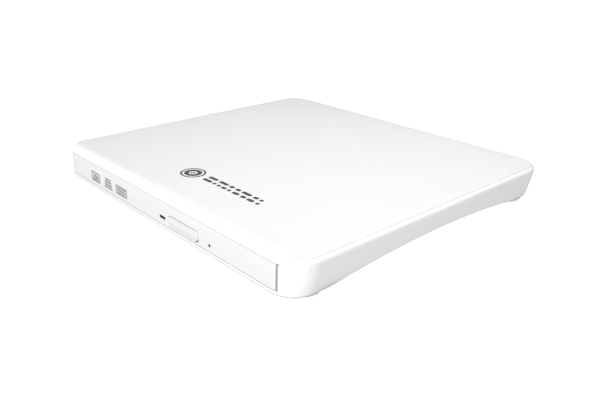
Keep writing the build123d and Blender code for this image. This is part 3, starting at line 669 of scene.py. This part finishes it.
def well_lips():
    """Lips closing the well where it breaks through the tray's side flanges."""
    radius, chord_x = 61.35, 60.0           # mm
    half_angle, steps = 12.5, 24            # degrees
    solids = Solids()
    for side in (-1, 1):
        arc = []
        for i in range(steps + 1):
            angle = math.radians(-half_angle + 2 * half_angle * i / steps)
            arc.append(((side * radius * math.cos(angle)) * MM,
                        (WELL_CENTRE_Y + radius * math.sin(angle)) * MM))
        chord = side * chord_x * MM
        outline = [(chord, arc[0][1])] + arc + [(chord, arc[-1][1])]
        solids.prism(outline, at_z, *mm(9.11, 9.2))
    solids.make("well_lips", SHADE, "drawer")


def undercover_film():
    """Film closing the pickup's opening in the under cover, set diagonally."""
    turn = math.radians(135)
    cos, sin = math.cos(turn), math.sin(turn)
    outline = [((u * cos - v * sin) * MM, (WELL_CENTRE_Y + u * sin + v * cos) * MM)
               for u, v in rounded(6.2, 45.8, -9.6, 9.6, 3.5, 8)]
    solids = Solids()
    solids.prism(outline, at_z, *mm(3.61, 3.685))
    solids.make("undercover_film", SHADE, "drawer")


gap_painted_shade_strips()
release_hole_painted_shade()
button_end_painted_shadow()
well_lips()
undercover_film()


# ---------------------------------------------------------------------------
# feet: low rubber pads with a rounded lower edge and a shallow dish
# ---------------------------------------------------------------------------
FOOT_RADIUS = 6.4           # mm
# radius, z in mm
FOOT_PROFILE = (
    (5.2, 0.18), (5.6, 0.0), (5.85, 0.03), (6.12, 0.16), (6.3, 0.36),
    (FOOT_RADIUS, 0.6), (FOOT_RADIUS, 0.93), (6.34, 0.99), (5.3, 1.0), (5.3, 1.4))
FOOT_PAD_TOP = 0.95         # mm, the rear feet are wider below this
REAR_FOOT_SCALE = 1.10


def feet():
    r = FOOT_RADIUS * MM
    foot_x = feet_hi.x - r
    solids = Solids()
    for x in (-foot_x, foot_x):
        for y, scale in ((feet_lo.y + r, 1.0), (feet_hi.y - r, REAR_FOOT_SCALE)):
            solids.loft([
                at_z(disc(x, y, q * MM * (scale if z < FOOT_PAD_TOP else 1.0), 56), z * MM)
                for q, z in FOOT_PROFILE])
    solids.make("rubber_feet", FOOT, "case", "feet")


feet()


# ---------------------------------------------------------------------------
# ribbon cable: folded once at rest
# ---------------------------------------------------------------------------
def cable():
    x0, x1, half_thickness = mm(-0.5, 11.5, 0.075)
    # mm: the lower run goes forward from its rear end to the fold, the upper run back
    lower_rear_y, fold_y, upper_rear_y = 43.9, -27.5, 36.525
    lower_z, upper_z = 2.875, 3.425
    lower_run, upper_run = lower_rear_y - fold_y, upper_rear_y - fold_y
    gap = upper_z - lower_z
    # y, z in mm: up at the rear end and forward over the top
    riser = [(upper_rear_y, 3.9), (upper_rear_y, 4.6), (upper_rear_y, 5.3),
             (36.45, 5.43), (36.3, 5.475), (35.2, 5.475), (34.0, 5.475)]

    path = [(lower_rear_y - lower_run * i / 30, lower_z) for i in range(31)]
    for i in range(1, 12):
        angle = math.radians(180 * i / 12)
        path.append((fold_y - gap / 2 * math.sin(angle),
                     (lower_z + upper_z) / 2 - gap / 2 * math.cos(angle)))
    path += [(fold_y + upper_run * i / 60, upper_z) for i in range(61)]
    path += riser

    rings = []
    for i, (y, z) in enumerate(path):
        before, after = path[max(0, i - 1)], path[min(len(path) - 1, i + 1)]
        along = Vector((after[0] - before[0], after[1] - before[1])).normalized()
        n = Vector((-along.y, along.x)) * half_thickness
        y, z = y * MM, z * MM
        rings.append([(x0, y + n.x, z + n.y), (x0, y - n.x, z - n.y),
                      (x1, y - n.x, z - n.y), (x1, y + n.x, z + n.y)])
    solids = Solids()
    solids.loft(rings)
    obj = solids.make("ribbon_cable", RIBBON, None)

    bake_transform(obj)
    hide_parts("drive_ffc")


cable()


# ---------------------------------------------------------------------------
# seam: band between lid and lower case, flush with the wall along the right
# side and the rear, tucked in toward both ends
# ---------------------------------------------------------------------------
# inset from the lid's outline, z in mm
SEAM_FLUSH = (
    (0.95, 11.8), (-0.48, 11.15), (-0.545, 11.3), (-0.545, 12.3), (-0.50, 12.8),
    (-0.36, 13.1), (-0.14, 13.28), (0.10, 13.32), (0.95, 13.0))
SEAM_TUCKED = (
    (0.95, 11.8), (0.32, 11.8), (0.32, 11.85), (0.32, 11.9), (0.32, 11.93),
    (0.32, 11.96), (0.34, 11.98), (0.36, 12.0), (0.95, 12.0))


def inset_point(cx, cy, nx, ny, r, inset, z):
    """Point on a corner arc of radius r, or a straight beside it, moved inward."""
    return (cx + (r - inset) * nx, cy + (r - inset) * ny, z)


def seam():
    r = LID_CORNER
    right, left = lid_hi.x - r, -lid_hi.x + r
    front, rear = lid_lo.y + r, lid_hi.y - r
    left_end_y = -58.8 * MM
    start = -72             # degrees, on the right front corner
    rings = []
    # arc centre, then from and to in degrees
    for cx, cy, a0, a1 in ((right, front, start, 0), (right, rear, 0, 90), (left, rear, 90, 180)):
        for i in range(25):
            degrees = a0 + (a1 - a0) * i / 24
            angle = math.radians(degrees)
            flush = ease((degrees - start) / 54 if degrees < 0 else (178 - degrees) / 60)
            profile = [(a[0] * flush + b[0] * (1 - flush), a[1] * flush + b[1] * (1 - flush))
                       for a, b in zip(SEAM_FLUSH, SEAM_TUCKED)]
            rings.append([
                inset_point(cx, cy, math.cos(angle), math.sin(angle), r, inset * MM, z * MM)
                for inset, z in profile])
    rings.append([(-lid_hi.x + inset * MM, left_end_y, z * MM) for inset, z in SEAM_TUCKED])
    solids = Solids()
    solids.loft(rings)
    solids.make("lid_seam", SHELL, "case")


seam()


# ---------------------------------------------------------------------------
# lid: tight edge at the sides and rear, a broad roll along the front that runs
# on round the left corner
# ---------------------------------------------------------------------------
LID_BASE = 12.0             # mm
TIGHT_EDGE = 0.65           # mm, depth and drop of the edge at the sides and rear
ROLL_DEPTH = 6.2            # mm, reach of the front roll from the edge inward
ROLL_DROP = 1.78            # mm, height of the front roll
ROLL_AT_LEFT = 0.25         # share of the roll where the left side begins
# ribs hanging inside the walls, mm: x from, to, y from, to
LID_RIBS = ((71.3, 72.3, -40, 48), (-72.3, -71.3, -48, 48),
            (-20, 60, 68.1, 69.1), (-60, -50, 68.1, 69.1))

# arc centre, outward direction, and side: 0 front right corner to 1 right side,
# 2 rear, 3 left, 4 front, with fractions in the corners
EdgePoint = namedtuple("EdgePoint", "cx cy nx ny side")


def edge_path(x0, x1, y0, y1, r):
    """Rounded rectangle with evenly spaced points on its straights too."""
    arc_steps, straight_steps = 20, 10
    centres = ((x1 - r, y0 + r), (x1 - r, y1 - r), (x0 + r, y1 - r), (x0 + r, y0 + r))
    points = []
    for side, (cx, cy) in enumerate(centres):
        start = 90 * side - 90
        for i in range(arc_steps + 1):
            a = math.radians(start + 90 * i / arc_steps)
            points.append(EdgePoint(cx, cy, math.cos(a), math.sin(a), side + i / arc_steps))
        next_x, next_y = centres[(side + 1) % 4]
        a = math.radians(start + 90)
        for i in range(1, straight_steps):
            t = i / straight_steps
            points.append(EdgePoint(cx + (next_x - cx) * t, cy + (next_y - cy) * t,
                                    math.cos(a), math.sin(a), side + 1))
    return points


def front_roll(point):
    """Share of the front roll at a point of the lid's edge."""
    if point.side <= 1:
        return 1 - ease(point.side / 0.85)
    if point.side < 3:
        return 0.0
    if point.side == 3:     # the roll fades along the left side
        straight = lid_hi.y - lid_lo.y - 2 * LID_CORNER
        t = (point.cy - (lid_lo.y + LID_CORNER)) / straight
        return ROLL_AT_LEFT * (1 - ease(t / 0.6))
    return ROLL_AT_LEFT + (1 - ROLL_AT_LEFT) * ease((point.side - 3.2) / 0.75)


def edge_size(full, roll):
    return (TIGHT_EDGE + (full - TIGHT_EDGE) * roll) * MM


LID_EDGE = [(point, front_roll(point))
            for point in edge_path(lid_lo.x, lid_hi.x, lid_lo.y, lid_hi.y, LID_CORNER)]


def lid_plate(solids):
    top, base, chamfer = lid_hi.z, LID_BASE * MM, 0.12 * MM
    recess_corner = 8.0 * MM
    recess = edge_path(*mm(-70.2, 70.2, -66.5, 67.9), recess_corner)

    def edge_ring(inset, z):
        return [inset_point(*point[:4], LID_CORNER, inset, z) for point, _ in LID_EDGE]

    rings = [[inset_point(*point[:4], recess_corner, 0, z) for point in recess]
             for z in (12.15 * MM, base)]
    rings += [edge_ring(chamfer, base), edge_ring(0, base + chamfer)]
    for i in range(15):
        angle = math.radians(90 * i / 14)
        ring = []
        for point, roll in LID_EDGE:
            depth, drop = edge_size(ROLL_DEPTH, roll), edge_size(ROLL_DROP, roll)
            ring.append(inset_point(*point[:4], LID_CORNER, depth * (1 - math.cos(angle)),
                                    top - drop + drop * math.sin(angle)))
        rings.append(ring)
    rings += [edge_ring(7.3 * MM, top), edge_ring(9.4 * MM, top)]
    solids.loft(rings)


def lid_bosses(solids):
    """Hollow posts hanging under the four corners."""
    for x in mm(-67.5, 67.5):
        for y in mm(-58.8, 57.0):
            outer, bore = disc(x, y, 2.2 * MM, 40), disc(x, y, 1.0 * MM, 40)
            tip = [(px + (x - px) * 0.08, py + (y - py) * 0.08) for px, py in outer]
            sections = ((outer, 12.18), (outer, 6.8), (tip, 6.6), (bore, 6.6), (bore, 11.4))
            solids.loft([at_z(outline, z * MM) for outline, z in sections])


def lid_ribs(solids):
    chamfer = 0.12          # mm
    for x0, x1, y0, y1 in LID_RIBS:
        full = rounded(*mm(x0, x1, y0, y1, 0.3), 4)
        small = rounded(*mm(x0 + chamfer, x1 - chamfer, y0 + chamfer, y1 - chamfer, 0.2), 4)
        solids.loft([at_z(small, 9.6 * MM), at_z(full, 9.75 * MM), at_z(full, 12.2 * MM)])


def lid():
    solids = Solids()
    lid_plate(solids)
    lid_bosses(solids)
    lid_ribs(solids)
    solids.make("lid", LID, "case", "top_cover")


def lid_groove_painted_shade():
    """Painted shade: a fine grey line, raised a little, standing in for the shade of a
    groove inside the edge, from the right front corner to the rear, thinning out at both ends."""
    left_end_x = lid_lo.x + 40 * MM
    z_low, z_high = lid_hi.z - 0.05 * MM, lid_hi.z + 0.012 * MM
    line = [(point, roll) for point, roll in LID_EDGE
            if 0.25 <= point.side <= 2.0 and point.cx >= left_end_x]
    rings = []
    for i, (point, roll) in enumerate(line):
        taper = min(1.0, i / 6.0, (len(line) - 1 - i) / 6.0)
        half_width = 0.07 * MM * taper + 0.004 * MM
        centre = edge_size(ROLL_DEPTH, roll) + 0.10 * MM
        outer, inner = centre - half_width, centre + half_width
        section = ((outer, z_low), (outer, z_high), (inner, z_high), (inner, z_low))
        rings.append([inset_point(*point[:4], LID_CORNER, inset, z) for inset, z in section])
    solids = Solids()
    solids.loft(rings)
    solids.make("lid_groove_painted_shade", PAINTED_GAP_SHADE, "case")


lid()
lid_groove_painted_shade()

# ---------------------------------------------------------------------------
# floor, lights and world
# ---------------------------------------------------------------------------
FLOOR_GLOW = 0.42           # glow the floor casts on the product; the camera sees 1
WORLD_GLOW = 0.25           # the same for the world
FLOOR_HALF = 6.0            # m
FLOOR_GAP = 0.00002         # m below the product


def floor_material():
    s = Shader("studio floor")
    slow = s.noise(scale=3.0, detail=2.0)
    fine = s.noise(scale=2200.0, detail=2.0)
    is_camera = s.node("ShaderNodeLightPath").outputs["Is Camera Ray"]
    return s.finish(color=s.ramp(slow, [(0.2, 0.30), (0.8, 0.31)]),
                    rough=s.remap(fine, 0.75, 0.85, start=0.0, end=1.0), spec=0.1,
                    normal=s.bump(fine, strength=0.03, distance=0.00003),
                    emit=s.ramp(slow, [(0.2, 0.985), (0.8, 1.0)]),
                    emit_strength=s.remap(is_camera, FLOOR_GLOW, 1.0, start=0.0, end=1.0))


def floor():
    material = floor_material()
    mesh = bpy.data.meshes.new("floor")
    h = FLOOR_HALF
    mesh.from_pydata([(-h, -h, 0), (h, -h, 0), (h, h, 0), (-h, h, 0)], [], [(0, 1, 2, 3)])
    obj = bpy.data.objects.new("floor", mesh)
    obj.location.z = CAD_BOX[0].z - FLOOR_GAP
    bpy.context.collection.objects.link(obj)
    mesh.materials.append(material)


def area_light(name, place, target, size, power):
    """Square area light; place, target and size in metres, power in watts."""
    light = bpy.data.lights.new(name, "AREA")
    light.shape = "RECTANGLE"
    light.size = light.size_y = size
    light.energy = power
    obj = bpy.data.objects.new(name, light)
    obj.location = place
    obj.rotation_mode = "QUATERNION"
    obj.rotation_quaternion = (Vector(target) - Vector(place)).to_track_quat("-Z", "Y")
    bpy.context.collection.objects.link(obj)


def polar(azimuth, elevation, distance):
    """A place seen from the case, azimuth degrees right of the front."""
    a, e = math.radians(azimuth), math.radians(elevation)
    return (distance * math.sin(a) * math.cos(e), -distance * math.cos(a) * math.cos(e),
            distance * math.sin(e))


def lights():
    area_light("key", place=polar(azimuth=26, elevation=13, distance=2.5),
               target=(0, 0, 0.008), size=0.9, power=68.0)
    area_light("top", place=(0.06, -0.015, 0.31), target=(0.06, -0.015, 0), size=0.22,
               power=0.92)
    area_light("sky", place=(0.0, 0.45, 1.5), target=(0, 0.1, 0), size=1.6, power=8.5)


def white_world():
    world = bpy.data.worlds.new("studio")
    world.use_nodes = True
    nodes, links = world.node_tree.nodes, world.node_tree.links
    background = nodes["Background"]
    background.inputs[0].default_value = (1, 1, 1, 1)
    light_path = nodes.new("ShaderNodeLightPath")
    strength = nodes.new("ShaderNodeMapRange")
    strength.inputs["To Min"].default_value = WORLD_GLOW
    strength.inputs["To Max"].default_value = 1.0
    links.new(light_path.outputs["Is Camera Ray"], strength.inputs[0])
    links.new(strength.outputs[0], background.inputs[1])
    bpy.context.scene.world = world


def plain_view():
    view = bpy.context.scene.view_settings
    view.view_transform = "Standard"
    view.look = "None"
    view.exposure = 0.0
    view.gamma = 1.0


def camera():
    """Looks down on the case from the front right."""
    right = Vector((0.65393504, 0.75643153, 0.01342769))
    up = Vector((-0.3008429, 0.24371178, 0.92200766))
    forward = Vector((-0.69416318, 0.60697274, -0.38693872))
    place = Vector((187.9995, -184.7392, 102.0555)) * MM
    data = bpy.data.cameras.new("camera")
    obj = bpy.data.objects.new("camera", data)
    bpy.context.collection.objects.link(obj)
    rows = [(r, u, -f, p) for r, u, f, p in zip(right, up, forward, place)]
    obj.matrix_world = Matrix(rows + [(0, 0, 0, 1)])
    data.sensor_width = 36.0
    data.lens = 38.72274
    data.shift_x = 1 / 15       # share of the frame's width
    data.clip_start = 0.01
    data.clip_end = 20.0
    bpy.context.scene.camera = obj


floor()
lights()
white_world()
plain_view()
camera()

# ---------------------------------------------------------------------------
# printed marks: a disc symbol with two rows of pits on the lid, and three
# plain symbols on the drawer front
# ---------------------------------------------------------------------------
INK_THICKNESS = 0.00004
INK_SUNK = 0.00001          # depth of the ink's back inside the surface
LID_INK = (at_z, lid_hi.z - INK_SUNK, lid_hi.z - INK_SUNK + INK_THICKNESS)
FRONT_INK = (on_front, bezel_lo.y - INK_SUNK, bezel_lo.y - INK_SUNK - INK_THICKNESS)


def ring_mark(solids, surface, cx, cy, inner, outer, n):
    """Flat ring, mm."""
    solids.rim(disc(*mm(cx, cy, inner), n), disc(*mm(cx, cy, outer), n), *surface)


def bar_mark(solids, surface, x0, x1, y0, y1, r):
    """Flat bar with rounded corners, mm; y0 and y1 are heights on the front."""
    solids.prism(rounded(*mm(x0, x1, y0, y1, r), 5), *surface)


def box_mark(solids, x0, x1, z0, z1, w, r):
    """Outlined box on the front, mm; w is the line's width."""
    inner = rounded(*mm(x0 + w, x1 - w, z0 + w, z1 - w, max(0.05, r - w)), 5)
    solids.rim(inner, rounded(*mm(x0, x1, z0, z1, r), 5), *FRONT_INK)


def lid_mark():
    solids = Solids()
    for inner, outer, n in ((4.35, 5.1, 64), (1.75, 3.55, 48), (0.55, 0.95, 32)):
        ring_mark(solids, LID_INK, -7.4, -48.8, inner, outer, n)
    row_start, row_end = 0.2, 33.8
    pits = random.Random(11)
    for y0, y1 in ((-47.3, -45.6), (-50.2, -48.5)):
        x = row_start
        while x < row_end - 1.6:
            length = min(pits.choice((1.7, 2.6, 3.6, 5.2)), row_end - x)
            bar_mark(solids, LID_INK, x, x + length, y0, y1, 0.84)
            x += length + pits.choice((0.9, 1.2))
    solids.make("lid_mark", INK, "case")


def front_marks():
    solids = Solids()
    # boxed disc, with a bar at each side and one below
    disc_x = -45.2
    box_mark(solids, -48.8, -41.6, 4.3, 8.4, w=0.55, r=0.6)
    ring_mark(solids, FRONT_INK, disc_x, 6.35, 0.4, 1.2, 36)
    for x in (disc_x - 2.2, disc_x + 1.5):
        bar_mark(solids, FRONT_INK, x, x + 0.7, 5.3, 7.4, 0.2)
    bar_mark(solids, FRONT_INK, -47.7, -42.7, 4.95, 5.3, 0.15)
    # stack of layers, narrowing upward
    for i in range(4):
        z = 4.4 + i * 1.16
        bar_mark(solids, FRONT_INK, -37.9 + 0.25 * i, -31.6 - 0.25 * i, z, z + 0.72, 0.2)
    # boxed lines
    box_mark(solids, -28.7, -20.0, 4.4, 8.3, w=0.42, r=0.5)
    for i in range(3):
        z = 5.0 + i
        bar_mark(solids, FRONT_INK, -27.6, -21.1, z, z + 0.6, 0.2)
    solids.make("front_marks", INK_SOFT, "drawer")


def front_marks_ground():
    """Pale ground behind the boxed lines."""
    half = INK_THICKNESS / 2
    solids = Solids()
    bar_mark(solids, (on_front, bezel_lo.y + half, bezel_lo.y - half),
             -28.35, -20.35, 4.75, 7.95, 0.3)
    solids.make("front_marks_ground", INK_PALE, "drawer")


lid_mark()
front_marks()
front_marks_ground()
